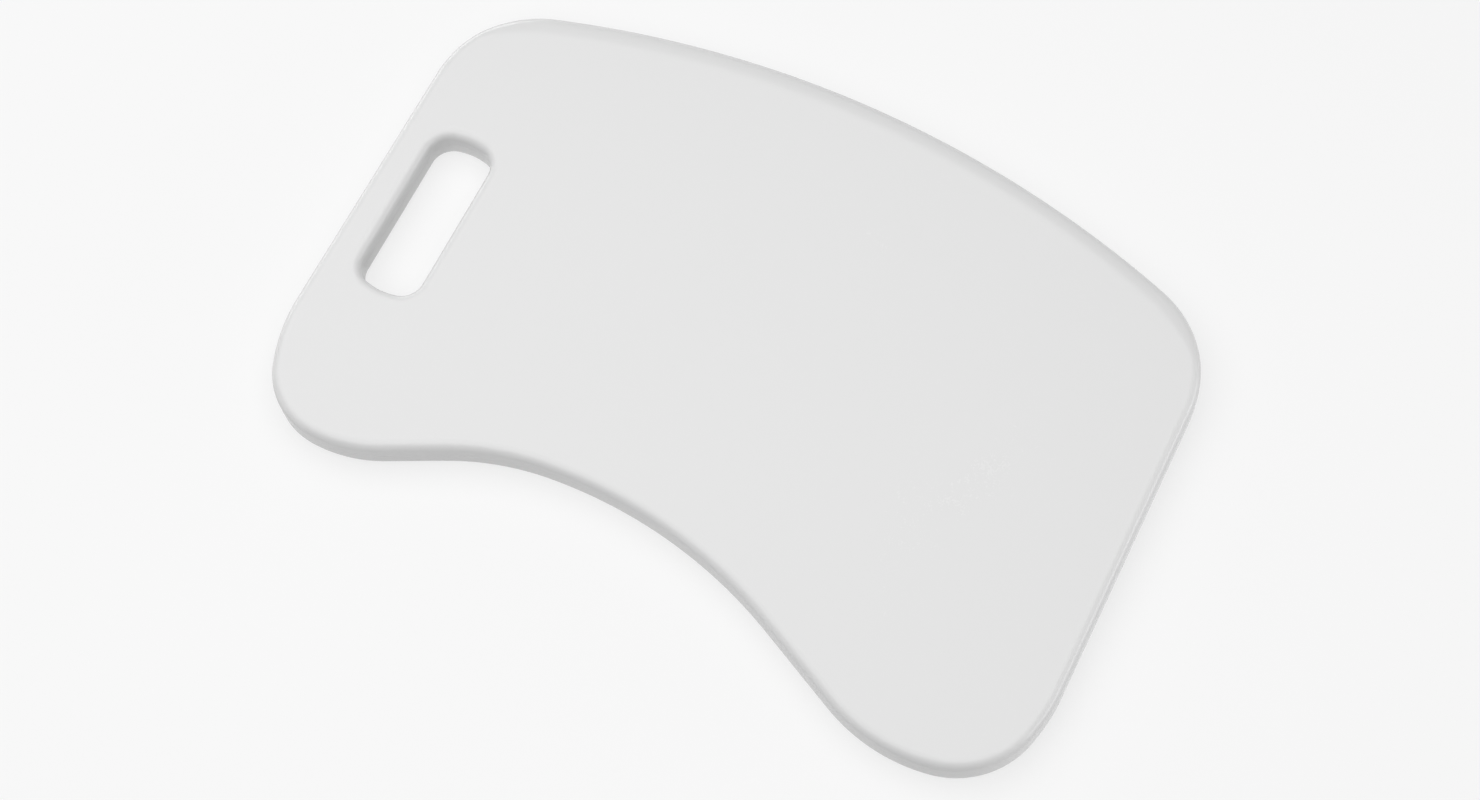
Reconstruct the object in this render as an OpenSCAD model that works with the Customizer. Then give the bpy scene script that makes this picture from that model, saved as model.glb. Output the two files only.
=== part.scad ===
// Flat board for the lap: two moulded shells round a light foam core, with a hand slot
// at the left end and a hollowed near edge that faces the user. Millimetres, +Z up.
// X runs along the length, the bowed far edge faces +Y, and the grip pads stand on z = 0.

/* [Board] */
// Overall length, end to end
board_l = 560; // [500:5:680]
// Overall width, from the right lobe to the middle of the far edge
board_w = 388; // [320:2:470]
// Thickness over the two shells
board_t = 28; // [24:0.5:36]
// Radius of the rolled rims, top and bottom, round the outside and the slot
edge_r = 6.5; // [2:0.5:7.5]

/* [Far edge] */
// Radius of the long bowed far edge
crown_r = 726; // [500:2:1400]
// Distance of the bow's tangent point from the middle, towards the hand slot
crown_x = 3; // [0:0.1:10]
// Height of the bow's tangent point over the overall width
crown_rise = 37.2; // [20:0.1:50]
// Radius of the two far corners
far_r = 75; // [20:1:100]
// Drop of the left far corner point below the overall width
far_left_drop = 53.2; // [30:0.1:70]
// Drop of the right far corner point below the overall width
far_right_drop = 51.2; // [30:0.1:70]
// Reach of the left far corner point past the overall length
far_reach = 0.6; // [0:0.1:10]
// Setback of the right far corner point inside the overall length
far_setback = 8.2; // [0:0.1:40]

/* [Ends] */
// Height of the left end's corner point over the front of the board
left_end_y = 68.7; // [55:0.1:85]
// Setback of that point inside the overall length
left_end_inset = 2.2; // [0:0.1:10]
// Radius there
left_end_r = 118; // [60:1:150]
// Height of the right end's corner point over the front of the board
right_end_y = 69.2; // [55:0.1:85]
// Reach of that point past the overall length
right_end_out = 0.3; // [0:0.1:5]
// Radius there
right_end_r = 113; // [60:1:150]

/* [Near edge] */
// Radius of the left lobe
left_lobe_r = 52; // [30:1:70]
// Height of the left lobe's corner point over the front of the board
left_lobe_y = 16; // [8:0.1:22]
// Setback of that point inside the overall length
left_lobe_inset = 26; // [20:0.1:34]
// Radius of the right lobe
right_lobe_r = 61; // [30:1:80]
// Height of the right lobe's corner point over the front of the board
right_lobe_y = 10.6; // [4:0.1:20]
// Setback of that point inside the overall length
right_lobe_inset = 10.9; // [4:0.1:20]
// Distance of the left shoulder from the middle
left_shoulder_x = 195.3; // [180:0.1:210]
// Height of the left shoulder's corner point over the front of the board
left_shoulder_y = 15.5; // [8:0.1:22]
// Radius of the left shoulder
left_shoulder_r = 97; // [60:1:140]
// Distance of the right shoulder from the middle
right_shoulder_x = 190.6; // [170:0.1:215]
// Reach of the right shoulder's corner point past the front of the board
right_shoulder_y = 5.6; // [0:0.1:10]
// Radius of the right shoulder
right_shoulder_r = 120; // [60:1:180]
// Depth of the hollow's left tangent point
left_hollow_y = 60.7; // [45:0.1:75]
// Distance of that point from the middle
left_hollow_x = 108.6; // [80:0.1:130]
// Radius of the hollow at the left
left_hollow_r = 190; // [120:1:250]
// Depth of the hollow's right tangent point
right_hollow_y = 74.3; // [55:0.1:90]
// Distance of that point from the middle
right_hollow_x = 16.6; // [0:0.1:60]
// Radius of the hollow at the right
right_hollow_r = 322; // [200:2:400]

/* [Hand slot] */
// Length of the slot between its corner points, along the board's width
slot_l = 112.3; // [85:0.1:140]
// Width of the slot
slot_w = 44.1; // [36:0.1:60]
// Radius of the slot's corners
slot_r = 14.8; // [5:0.1:18]
// Bow of the slot's two short ends
slot_bow = 4; // [0.5:0.1:6]
// Width of the strip between the left end and the slot
end_strip = 25.6; // [21:0.1:60]
// Distance of the slot's middle from the board's middle, towards the user
slot_offset = 10.8; // [0:0.1:40]
// Turn of the slot from square, in degrees
slot_turn = 1; // [-3:0.1:3]

/* [Shells] */
// Thickness of the top and bottom skins
skin_t = 2.4; // [1.8:0.1:3.5]
// Width of the solid band along the rims
rim_w = 8; // [7:0.5:10]
// Width of the seals
seal_w = 2; // [1.5:0.1:2.5]
// Height of the seals, half of it in each shell
seal_h = 2; // [1.5:0.1:3]
// Distance from the rim to the seal
seal_inset = 3.5; // [3:0.25:4.5]
// Gap at each side of a seal in its groove
seal_gap = 0.05; // [0.02:0.01:0.2]

/* [Fastenings] */
// Diameter of the screws
screw_d = 4; // [3:0.5:4]
// Length of the screws under the head
screw_l = 10; // [8:0.5:10]
// Diameter of the screw heads
head_d = 7.5; // [6:0.5:8]
// Height of the screw heads
head_h = 2.4; // [1.6:0.1:2.6]
// Width of the driver recess in a head
drive_w = 3; // [2:0.25:4]
// Depth of the driver recess
drive_depth = 1.4; // [0.8:0.1:1.5]
// Thickness of the sealing washers
washer_t = 0.8; // [0.5:0.1:1]
// Thickness of the plugs that hide the screws
plug_t = 1.2; // [0.8:0.1:1.3]
// Depth of the plugs below the bottom face
plug_sink = 0.2; // [0:0.1:0.3]
// Gap between a screw and the hole in its pillar, all round
screw_gap = 0.2; // [0.1:0.05:0.4]
// Gap between a head and its recess, all round
recess_gap = 0.6; // [0.4:0.1:0.8]
// Depth of the screw recesses
recess_depth = 9.5; // [5:0.1:12]
// Thickness of the ledge that the screws clamp
ledge_t = 4.5; // [3.5:0.1:5]
// Wall of the screw pillars
pillar_wall = 2.4; // [1.8:0.1:3]
// Wall of the brass inserts
insert_wall = 0.8; // [0.6:0.1:1.2]
// Length of the brass inserts
insert_l = 5; // [4:0.1:5.2]
// Distance from the rim to the pillars
pillar_inset = 20; // [18:1:26]
// Distance from the slot to the pillars beside it
slot_pillar_inset = 24; // [24:1:28]
// Spacing of the two pillars beside the slot
slot_pillar_pitch = 84; // [60:1:100]

/* [Core] */
// Gap between the foam core and what it surrounds
core_gap = 0.5; // [0.2:0.1:1.5]
// Width of the ring that stiffens the slot
ring_w = 4; // [3:0.5:6]
// Width of the stiffening tubes
tube_w = 20; // [12:1:26]
// Wall of the stiffening tubes
tube_wall = 1.5; // [1:0.1:2.5]
// Distance from the far edge to the middle of the far tube
far_tube_inset = 81; // [70:1:100]
// Distance from the hollow to the middle of the near tube
near_tube_inset = 52; // [45:1:60]
// Distance from the slot to the tubes
tube_from_slot = 44; // [40:1:80]
// Distance from the right end to the tubes
tube_from_end = 80; // [70:1:120]

/* [Grip pads] */
// Length of a grip pad
pad_l = 60; // [40:1:70]
// Width of a grip pad
pad_w = 20; // [12:1:22]
// How far the pads stand proud of the bottom shell
pad_proud = 1.5; // [1:0.1:3]
// Depth of the pads' pockets
pad_depth = 1; // [0.6:0.1:1.2]
// Distance from the rim to the middle of a pad
pad_inset = 50; // [44:1:60]

/* [Hidden] */

half_l = board_l / 2;
half_w = board_w / 2;
base_z = pad_proud;
top_z = base_z + board_t;
split_z = base_z + board_t / 2;
core_z = base_z + skin_t;
core_h = board_t - 2 * skin_t;
ledge_z = base_z + recess_depth;
pillar_z = ledge_z + ledge_t;
head_z = ledge_z - washer_t - head_h;
recess_d = head_d + 2 * recess_gap;
pillar_d = recess_d + 2 * pillar_wall;
insert_d = screw_d + 2 * insert_wall;
// Room beyond a screw's tip, and the play of its thread in the insert
tip_room = 0.6;
thread_gap = 0.05;
// Depth of a pillar's root in its skin
root = skin_t / 2;
// Facets of round parts and steps of a rolled rim
$fn = 48;
rim_steps = 6;
// Most degrees and most length between the points of an outline
step_angle = 5;
step_l = 22;

// Corner points of the outline, anticlockwise from the far edge: x, y and rounding radius
corners = [
    [-crown_x, half_w + crown_rise, crown_r],
    [-half_l - far_reach, half_w - far_left_drop, far_r],
    [left_end_inset - half_l, left_end_y - half_w, left_end_r],
    [left_lobe_inset - half_l, left_lobe_y - half_w, left_lobe_r],
    [-left_shoulder_x, left_shoulder_y - half_w, left_shoulder_r],
    [-left_hollow_x, left_hollow_y - half_w, left_hollow_r],
    [right_hollow_x, right_hollow_y - half_w, right_hollow_r],
    [right_shoulder_x, -right_shoulder_y - half_w, right_shoulder_r],
    [half_l - right_lobe_inset, right_lobe_y - half_w, right_lobe_r],
    [half_l + right_end_out, right_end_y - half_w, right_end_r],
    [half_l - far_setback, half_w - far_right_drop, far_r]
];

// Corner points of the slot, anticlockwise about its own middle
slot_x = slot_w / 2;
slot_y = slot_l / 2;
slot_end_r = (slot_x - slot_r) * slot_x / slot_bow;
slot_corners = [
    [slot_x, slot_y, slot_r],
    [0, slot_y + slot_bow, slot_end_r],
    [-slot_x, slot_y, slot_r],
    [-slot_x, -slot_y, slot_r],
    [0, -slot_y - slot_bow, slot_end_r],
    [slot_x, -slot_y, slot_r]
];

// Point, edge direction and turn at a corner of an outline
function at(c, i) = let (p = c[(i + len(c)) % len(c)]) [p[0], p[1]];
function ahead(c, i) = at(c, i + 1) - at(c, i);
function unit(v) = v / norm(v);
function left_of(v) = [-v[1], v[0]];
function turn(c, i) =
    let (a = ahead(c, i - 1), b = ahead(c, i))
    atan2(a[0] * b[1] - a[1] * b[0], a * b);
function wanted(c, i) = c[(i + len(c)) % len(c)][2];
// Length that a corner's arc takes from each of its edges, at the radius it asks for
function reach(c, i) = wanted(c, i) * tan(abs(turn(c, i)) / 2);
// Share of the two reaches that an edge has room for
function room(c, i) = min(1, norm(ahead(c, i)) / (reach(c, i) + reach(c, i + 1)));
function radius(c, i) = wanted(c, i) * min(room(c, i - 1), room(c, i));
// An outline's arcs: [centre, radius, side, start angle, sweep]; side is 1 on a left turn
function arcs(c) = [
    for (i = [0 : len(c) - 1])
    let (
        t = turn(c, i),
        side = sign(t),
        r = radius(c, i),
        back = unit(ahead(c, i - 1)),
        start = at(c, i) - back * r * tan(abs(t) / 2),
        centre = start + left_of(back) * r * side,
        from = start - centre
    )
    [centre, r, side, atan2(from[1], from[0]), abs(t)]
];
// Point on an arc at a share of its sweep, moved to the left of the path
function on_arc(a, share, inset) =
    let (angle = a[3] + a[2] * a[4] * share)
    a[0] + (a[1] - a[2] * inset) * [cos(angle), sin(angle)];
function arc_steps(a) = ceil(max(a[4] / step_angle, a[1] * a[4] * PI / 180 / step_l));
// The whole outline as points, moved inward by inset
function outline(path, inset) = [
    for (a = path, k = [0 : arc_steps(a)]) on_arc(a, k / arc_steps(a), inset)
];
// Middle of the straight edge after an arc, moved inward by inset
function mid_edge(path, i, inset) =
    (on_arc(path[i], 1, inset) + on_arc(path[(i + 1) % len(path)], 0, inset)) / 2;

board_path = arcs(corners);
slot_path = arcs(slot_corners);
slot_place = [end_strip + slot_x - half_l, -slot_offset];
slot_right = slot_place[0] + slot_x;
hollow_top = board_path[6][0][1] + board_path[6][1];
far_tube_y = half_w - far_tube_inset;
near_tube_y = hollow_top + near_tube_inset;

pillars = concat(
    [for (share = [0.09, 0.5, 0.91]) on_arc(board_path[0], share, pillar_inset)],
    [for (i = [1, 3, 5, 8, 10]) on_arc(board_path[i], 0.5, pillar_inset)],
    [on_arc(board_path[6], 0.8, pillar_inset), mid_edge(board_path, 9, pillar_inset)],
    [for (side = [-1, 1])
        [slot_right + slot_pillar_inset, side * slot_pillar_pitch / 2 - slot_offset]]
);

// Grip pads: the arc each one follows, in the order of their names
pad_arcs = [0, 1, 10, 3, 6, 8];

// Half rim, as distance into the solid and height: a rounded lower corner outside, and
// half of the seal groove in the top
rim_h = board_t / 2;
groove_x = seal_inset - seal_gap;
groove_w = seal_w + 2 * seal_gap;
rim_profile = concat(
    [[0, rim_h]],
    [for (k = [0 : rim_steps]) edge_r * [1 - cos(90 * k / rim_steps), 1 - sin(90 * k / rim_steps)]],
    [[rim_w, 0], [rim_w, rim_h]],
    [[groove_x + groove_w, rim_h], [groove_x + groove_w, rim_h - seal_h / 2]],
    [[groove_x, rim_h - seal_h / 2], [groove_x, rim_h]]
);

// Carries a profile round a path. The solid lies to the left of the path when inside is 1
// and to the right when it is -1.
module rim(path, inside) {
    rows = len(rim_profile);
    cols = len(outline(path, 0));
    points = [
        for (p = rim_profile, q = outline(path, inside * p[0])) [q[0], q[1], p[1]]
    ];
    faces = [
        for (i = [0 : rows - 1], k = [0 : cols - 1])
        let (
            a = i * cols + k,
            b = i * cols + (k + 1) % cols,
            c = (i + 1) % rows * cols + (k + 1) % cols,
            d = (i + 1) % rows * cols + k
        )
        each inside > 0 ? [[a, b, c], [a, c, d]] : [[a, c, b], [a, d, c]]
    ];
    polyhedron(points, faces, convexity = 8);
}

module in_slot() {
    translate(slot_place)
        rotate([0, 0, slot_turn])
            children();
}

// Plate with the outline of the board, moved in, and the slot, moved out
module plate(z, height, rim, slot_rim) {
    translate([0, 0, z])
        difference() {
            linear_extrude(height)
                polygon(outline(board_path, rim));
            translate([0, 0, -1])
                in_slot()
                    linear_extrude(height + 2)
                        polygon(outline(slot_path, -slot_rim));
        }
}

// Skin and both rims of one shell, face down on base_z
module half_shell() {
    overlap = rim_w - seal_w / 2;
    translate([0, 0, base_z]) {
        rim(board_path, 1);
        in_slot()
            rim(slot_path, -1);
    }
    plate(base_z, skin_t, overlap, overlap);
}

module at_pillars() {
    for (p = pillars)
        translate(p)
            children();
}

module rod(z, height, d) {
    translate([0, 0, z])
        cylinder(h = height, d = d);
}

module top_shell() {
    insert_top = pillar_z + insert_l;
    hole_top = max(insert_top, head_z + head_h + screw_l + tip_room);
    color("white")
        difference() {
            union() {
                translate([0, 0, 2 * split_z])
                    mirror([0, 0, 1])
                        half_shell();
                at_pillars()
                    rod(pillar_z, top_z - root - pillar_z, pillar_d);
            }
            at_pillars() {
                rod(pillar_z - 1, insert_l + 1, insert_d);
                rod(pillar_z - 1, hole_top - pillar_z + 1, screw_d + 2 * screw_gap);
            }
        }
}

module bottom_shell() {
    color("white")
        difference() {
            union() {
                half_shell();
                at_pillars()
                    rod(base_z + root, pillar_z - base_z - root, pillar_d);
            }
            at_pillars() {
                rod(base_z - 1, recess_depth + 1, recess_d);
                rod(ledge_z - 1, ledge_t + 2, screw_d + 2 * screw_gap);
            }
            for (k = [0 : len(pad_arcs) - 1])
                pad_shape(k, base_z - 1, pad_depth + 1);
        }
}

module foam_core() {
    ring_room = rim_w + ring_w + 2 * core_gap;
    color("gainsboro")
        difference() {
            plate(core_z, core_h, rim_w + core_gap, ring_room);
            at_pillars()
                rod(core_z - 1, core_h + 2, pillar_d + 2 * core_gap);
            for (y = [far_tube_y, near_tube_y])
                tube_block(y, tube_w + 2 * core_gap, core_z - 1, core_h + 2, core_gap);
        }
}

module tube_block(y, width, z, height, more) {
    first = slot_right + tube_from_slot - more;
    translate([first, y - width / 2, z])
        cube([half_l - tube_from_end + more - first, width, height]);
}

module stiffener(y) {
    color("silver")
        difference() {
            tube_block(y, tube_w, core_z, core_h, 0);
            tube_block(y, tube_w - 2 * tube_wall, core_z + tube_wall, core_h - 2 * tube_wall, 1);
        }
}

module slot_ring() {
    color("dimgray")
        translate([0, 0, core_z])
            in_slot()
                difference() {
                    linear_extrude(core_h)
                        polygon(outline(slot_path, -rim_w - core_gap - ring_w));
                    translate([0, 0, -1])
                        linear_extrude(core_h + 2)
                            polygon(outline(slot_path, -rim_w - core_gap));
                }
}

// Seal cord that fills both halves of a groove
module seal(path, inside) {
    color("darkslategray")
        translate([0, 0, split_z - seal_h / 2])
            difference() {
                linear_extrude(seal_h)
                    polygon(outline(path, inside > 0 ? seal_inset : -seal_inset - seal_w));
                translate([0, 0, -1])
                    linear_extrude(seal_h + 2)
                        polygon(outline(path, inside > 0 ? seal_inset + seal_w : -seal_inset));
            }
}

module rim_seal() {
    seal(board_path, 1);
}

module slot_seal() {
    in_slot()
        seal(slot_path, -1);
}

module thread_inserts() {
    color("goldenrod")
        at_pillars()
            difference() {
                rod(pillar_z, insert_l, insert_d);
                rod(pillar_z - 1, insert_l + 2, screw_d + 2 * thread_gap);
            }
}

module screws() {
    color("silver")
        at_pillars()
            difference() {
                union() {
                    rod(head_z, head_h, head_d);
                    rod(head_z + head_h, screw_l, screw_d);
                }
                translate([0, 0, head_z - 1])
                    cylinder(h = drive_depth + 1, d = drive_w, $fn = 6);
            }
}

module screw_washers() {
    color("black")
        at_pillars()
            difference() {
                rod(ledge_z - washer_t, washer_t, head_d);
                rod(ledge_z - washer_t - 1, washer_t + 2, screw_d + 2 * screw_gap);
            }
}

module screw_plugs() {
    color("white")
        at_pillars()
            rod(base_z + plug_sink, plug_t, recess_d);
}

// Grip pad with round ends, lying along its arc of the outline
module pad_shape(k, z, height) {
    a = board_path[pad_arcs[k]];
    spine = pad_l - pad_w;
    translate(on_arc(a, 0.5, pad_inset))
        rotate([0, 0, a[3] + a[2] * a[4] / 2 + 90])
            translate([0, 0, z])
                linear_extrude(height)
                    union() {
                        square([spine, pad_w], center = true);
                        for (side = [-1, 1])
                            translate([side * spine / 2, 0])
                                circle(d = pad_w);
                    }
}

module grip_pad(k) {
    color("dimgray")
        pad_shape(k, 0, pad_proud + pad_depth);
}

top_shell();
bottom_shell();
foam_core();
stiffener(far_tube_y);  // far_stiffener
stiffener(near_tube_y);  // near_stiffener
slot_ring();
rim_seal();
slot_seal();
thread_inserts();
screws();
screw_washers();
screw_plugs();
grip_pad(0);  // grip_pad_far_middle
grip_pad(1);  // grip_pad_far_left
grip_pad(2);  // grip_pad_far_right
grip_pad(3);  // grip_pad_near_left
grip_pad(4);  // grip_pad_near_middle
grip_pad(5);  // grip_pad_near_right
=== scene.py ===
import logging
import math
from collections.abc import Sequence
from dataclasses import dataclass, field
from enum import Enum, IntEnum

import bmesh
import bpy
import numpy as np
from mathutils import Matrix, Vector, geometry


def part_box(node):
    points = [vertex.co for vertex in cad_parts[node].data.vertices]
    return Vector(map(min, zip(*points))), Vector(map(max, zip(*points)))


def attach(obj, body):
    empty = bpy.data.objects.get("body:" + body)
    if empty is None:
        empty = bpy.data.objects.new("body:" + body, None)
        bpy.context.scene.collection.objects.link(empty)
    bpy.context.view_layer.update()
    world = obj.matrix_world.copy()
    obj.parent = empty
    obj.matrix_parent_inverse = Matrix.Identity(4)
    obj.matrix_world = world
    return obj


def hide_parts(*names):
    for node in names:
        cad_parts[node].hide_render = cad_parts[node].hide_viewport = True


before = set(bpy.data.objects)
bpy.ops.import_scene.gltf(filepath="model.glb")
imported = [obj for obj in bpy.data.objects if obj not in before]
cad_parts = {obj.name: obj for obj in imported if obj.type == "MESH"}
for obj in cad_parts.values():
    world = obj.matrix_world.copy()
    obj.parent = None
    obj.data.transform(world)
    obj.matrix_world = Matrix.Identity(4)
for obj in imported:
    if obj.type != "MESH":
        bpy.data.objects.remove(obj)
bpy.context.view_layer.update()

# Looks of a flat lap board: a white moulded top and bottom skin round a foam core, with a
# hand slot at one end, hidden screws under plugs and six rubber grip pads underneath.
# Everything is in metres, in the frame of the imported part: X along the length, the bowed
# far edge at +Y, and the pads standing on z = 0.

MM = 0.001
ROUND_POINTS = 40  # points round a pillar or a plug
EDGE_ROWS = 7  # rows of a small rounded edge
END_POINTS = 31  # points round each end of a pad, between its straight sides
SAME_PLACE = 0.001 * MM  # points nearer than this are one point
FILL_INSIDE = 1  # the triangulation keeps what lies inside the borders
FILL_SLACK = 1e-7  # millimetres between points that the triangulation takes as one
BEAD_SLOPE = 1.1  # fall of the foam's beads from their middles
ALONG_X = (0.02, 1.0, 1.0)  # packing of a pattern drawn out along X
ROUND_Z = (0.15, 0.15, 1.0)  # packing of a pattern drawn out across Z, in rings
BROAD_SCALE = 9.0  # broad patches of wear in a metre
BROAD_DETAIL = 3.0  # octaves of their noise
BROAD_POLISH = 0.08  # change of roughness over the broad patches
FINE_POLISH = 0.06  # change of roughness over the fine grain
LOG = logging.getLogger("lap_board")


class Side(Enum):
    """The way a flat region faces."""

    UP = "up"
    DOWN = "down"


class Arc(IntEnum):
    """The arcs of the board's outline, anticlockwise from the far edge."""

    FAR = 0
    FAR_LEFT = 1
    LEFT_END = 2
    LEFT_LOBE = 3
    LEFT_SHOULDER = 4
    LEFT_HOLLOW = 5
    RIGHT_HOLLOW = 6
    RIGHT_SHOULDER = 7
    RIGHT_LOBE = 8
    RIGHT_END = 9
    FAR_RIGHT = 10


class Grain(Enum):
    """The family of pattern that a finish is made from."""

    MOULDED = "moulded"
    BEADED = "beaded"
    BRUSHED = "brushed"
    RUBBED = "rubbed"
    TURNED = "turned"


def unit(vectors: np.ndarray) -> np.ndarray:
    """Divides each row of vectors by its own length."""
    return vectors / np.linalg.norm(vectors, axis=-1, keepdims=True)


def smooth_step(value: np.ndarray, low: float, high: float) -> np.ndarray:
    """Rises from 0 at low to 1 at high along 3t^2 - 2t^3.

    Args:
        value: Where to work the curve out.
        low: Value at which the curve leaves 0.
        high: Value at which the curve reaches 1.

    Returns:
        The curve at each value.
    """
    share = np.clip((value - low) / (high - low), 0.0, 1.0)
    return share * share * (3.0 - 2.0 * share)


class Outline:
    """Closed anticlockwise path of straight runs and tangent arcs.

    Each corner point is rounded by an arc of its own radius that touches both edges. The arc
    takes radius * tan(turn / 2) from each edge. An outline moved inward keeps its centres.
    """

    def __init__(self, corners: Sequence[tuple[float, float, float]]) -> None:
        """Works out the arcs.

        Args:
            corners: x, y and rounding radius of each corner point, in millimetres.
        """
        table = np.array(corners) * MM
        point, wanted = table[:, :2], table[:, 2]
        edge = np.roll(point, -1, axis=0) - point
        ahead = unit(edge)
        back = np.roll(ahead, 1, axis=0)
        cross = back[:, 0] * ahead[:, 1] - back[:, 1] * ahead[:, 0]
        turn = np.arctan2(cross, (back * ahead).sum(axis=1))
        reach = wanted * np.tan(np.abs(turn) / 2)
        room = np.linalg.norm(edge, axis=1) / (reach + np.roll(reach, -1))
        room = np.minimum(room, 1.0)
        self.radius = wanted * np.minimum(room, np.roll(room, 1))
        self.side = np.sign(turn)
        self.sweep = np.abs(turn)
        start = point - back * (self.radius * np.tan(self.sweep / 2))[:, None]
        left = np.stack([-back[:, 1], back[:, 0]], axis=1)
        self.centre = start + left * (self.radius * self.side)[:, None]
        spoke = start - self.centre
        self.start = np.arctan2(spoke[:, 1], spoke[:, 0])

    def on_arc(self, index: int, share: float, inset: float) -> np.ndarray:
        """Point at a share of an arc's sweep, moved inward.

        Args:
            index: Number of the arc.
            share: Part of the sweep, from 0 to 1.
            inset: Distance inward, in metres.

        Returns:
            x and y.
        """
        angle = self.start[index] + self.side[index] * self.sweep[index] * share
        reach = self.radius[index] - self.side[index] * inset
        return self.centre[index] + reach * np.array([math.cos(angle), math.sin(angle)])

    def mid_edge(self, index: int, inset: float) -> np.ndarray:
        """Middle of the straight run after an arc, moved inward by inset."""
        following = (index + 1) % len(self.radius)
        return (self.on_arc(index, 1.0, inset) + self.on_arc(following, 0.0, inset)) / 2

    def heading(self, index: int) -> float:
        """Angle of the path at the middle of an arc, in radians."""
        return self.start[index] + self.side[index] * self.sweep[index] / 2 + math.pi / 2

    def trace(self, step: float, most_turn: float) -> tuple[np.ndarray, np.ndarray]:
        """Lays points along the path, evenly on each arc and on each straight run.

        Args:
            step: Greatest distance between points, in metres.
            most_turn: Greatest turn between points, in radians.

        Returns:
            The points and the inward unit direction at each, both as rows of x and y.
        """
        points, inward = [], []
        for index in range(len(self.radius)):
            sweep = self.sweep[index]
            count = math.ceil(max(self.radius[index] * sweep / step, sweep / most_turn))
            angle = self.start[index] + self.side[index] * sweep * np.arange(count + 1) / count
            ray = np.stack([np.cos(angle), np.sin(angle)], axis=1)
            points.append(self.centre[index] + self.radius[index] * ray)
            inward.append(-self.side[index] * ray)
            end = points[-1][-1]
            run = self.on_arc((index + 1) % len(self.radius), 0.0, 0.0) - end
            length = np.linalg.norm(run)
            if length < SAME_PLACE:
                points[-1], inward[-1] = points[-1][:-1], inward[-1][:-1]
                continue
            pieces = math.ceil(length / step)
            share = np.arange(1, pieces)[:, None] / pieces
            points.append(end + share * run)
            inward.append(np.repeat(inward[-1][-1:], len(share), axis=0))
        return np.concatenate(points), np.concatenate(inward)


def carried(
    path: tuple[np.ndarray, np.ndarray], inset: np.ndarray, height: np.ndarray
) -> np.ndarray:
    """Carries a profile along a path: point = path + inward direction * inset, at height.

    Args:
        path: Points and inward directions, as rows of x and y.
        inset: Distance inward for each row of the profile and each point of the path.
        height: z for each row of the profile and each point of the path.

    Returns:
        Array of profile rows by path points by x, y, z.
    """
    points, inward = path
    shape = (inset.shape[0], len(points))
    inset = np.broadcast_to(inset, shape)
    height = np.broadcast_to(height, shape)
    flat = points[None] + inward[None] * inset[..., None]
    return np.concatenate([flat, height[..., None]], axis=2)


def circle(centre: np.ndarray) -> tuple[np.ndarray, np.ndarray]:
    """Path of radius zero whose directions point away from the centre.

    Args:
        centre: x and y.

    Returns:
        The centre repeated, and outward unit directions at even angles.
    """
    angle = np.arange(ROUND_POINTS) * 2 * np.pi / ROUND_POINTS
    ray = np.stack([np.cos(angle), np.sin(angle)], axis=1)
    return np.repeat(centre[None], ROUND_POINTS, axis=0), ray


def turned(section: np.ndarray, centre: np.ndarray) -> np.ndarray:
    """Turns a section about an upright axis: point = centre + direction * radius, at height.

    Args:
        section: Radius and height of each row, in millimetres.
        centre: x and y of the axis, in metres.

    Returns:
        Rows by points round the axis by x, y, z.
    """
    return carried(circle(centre), section[:, :1] * MM, section[:, 1:] * MM)


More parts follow.
